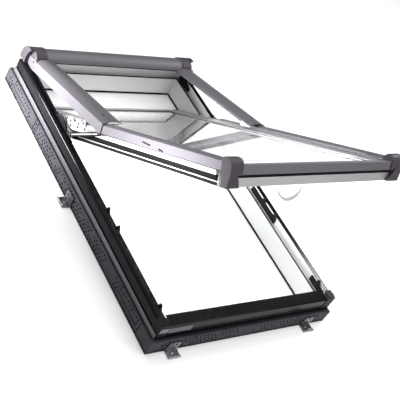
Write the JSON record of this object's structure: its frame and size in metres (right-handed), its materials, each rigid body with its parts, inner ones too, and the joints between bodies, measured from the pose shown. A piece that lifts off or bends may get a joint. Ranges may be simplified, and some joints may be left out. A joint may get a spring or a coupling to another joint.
{
  "type": "roof window",
  "caption": "High-pivot roof window with a glazed sash, half-round hood, lifting cover arms, insulation collar and roof brackets.",
  "frame": {"origin": "centre of the four end brackets' holes, in the plane of the roof deck", "axes": "+X across the window, +Y up the roof slope, +Z out of the roof"},
  "size_m": [0.834, 1.274, 0.7454],
  "materials": {
    "foam": "moulded insulation foam with pits",
    "white_pvc": "smooth white",
    "black_cladding": "satin powder coat",
    "black_plastic": "moulded",
    "rubber": "extruded seal",
    "grey_cladding": "metallic grey powder coat",
    "dark_grey_plastic": "fine moulded grain",
    "bare_aluminium": "satin",
    "zinc": "galvanised",
    "hinge_steel": "white coated steel",
    "glass": "clear float glass"
  },
  "bodies": {
    "root": {"collar_left": "foam", "collar_right": "foam", "collar_top": "foam", "collar_bottom": "foam", "frame_left": "white_pvc", "frame_right": "white_pvc", "frame_top": "white_pvc", "frame_bottom": "white_pvc", "frame_clad_left": "black_cladding", "frame_clad_right": "black_cladding", "frame_clad_top": "black_cladding", "sill_clad": "black_cladding", "corner_cap_left": "black_plastic", "corner_cap_right": "black_plastic", "frame_gasket": "rubber", "hood": "grey_cladding", "hood_cap_left": "dark_grey_plastic", "hood_cap_right": "dark_grey_plastic", "hood_plate_left": "dark_grey_plastic", "hood_plate_right": "dark_grey_plastic", "frame_hinge_left": "zinc", "frame_hinge_right": "zinc", "arm_bracket_left": "black_plastic", "arm_bracket_right": "black_plastic", "keepers": "black_plastic", "roof_bracket_bottom_left": "zinc", "roof_bracket_bottom_right": "zinc", "roof_bracket_top_left": "zinc", "roof_bracket_top_right": "zinc", "roof_bracket_left": "zinc", "roof_bracket_right": "zinc", "bracket_screws": "zinc"},
    "sash": {"sash_left": "white_pvc", "sash_right": "white_pvc", "sash_top": "white_pvc", "sash_bottom": "white_pvc", "sash_clad_left": "grey_cladding", "sash_clad_right": "grey_cladding", "sash_clad_top": "bare_aluminium", "sash_bead_left": "bare_aluminium", "sash_bead_right": "bare_aluminium", "front_clad": "grey_cladding", "front_strip": "bare_aluminium", "end_cap_left": "dark_grey_plastic", "end_cap_right": "dark_grey_plastic", "outer_pane": "glass", "inner_pane": "glass", "pane_spacer": "bare_aluminium", "glazing_gasket": "rubber", "sash_seal_left": "rubber", "sash_seal_right": "rubber", "sash_hinge_left": "hinge_steel", "sash_hinge_right": "hinge_steel", "handle_base": "white_pvc"},
    "cover_arms": {"arm_left": "grey_cladding", "arm_right": "grey_cladding", "arm_screws": "black_plastic"},
    "stays": {"stay_left": "zinc", "stay_right": "zinc"},
    "handle": {"handle": "white_pvc"}
  },
  "joints": [
    {"name": "sash_pivot", "type": "hinge", "parent": "root", "child": "sash", "pos_m": [0, 0.252, 0.13], "axis": [-1, 0, 0], "range_deg": [-35.1, 0]},
    {"name": "cover_lift", "type": "hinge", "parent": "root", "child": "cover_arms", "pos_m": [0, 0.528, 0.148], "axis": [-1, 0, 0], "range_deg": [-17.5, 0.5]},
    {"name": "stay_swing", "type": "hinge", "parent": "root", "child": "stays", "pos_m": [0, 0.188, 0.128], "axis": [-1, 0, 0], "range_deg": [-46.5, 0.5]},
    {"name": "handle_tilt", "type": "hinge", "parent": "sash", "child": "handle", "pos_m": [0, -0.39985, 0.50685], "axis": [1, 0, 0], "range_deg": [0, 40]}
  ],
  "couplings": [
    {"joint": "cover_lift", "follows": "sash_pivot", "ratio": 0.487},
    {"joint": "stay_swing", "follows": "sash_pivot", "ratio": 1.3}
  ]
}
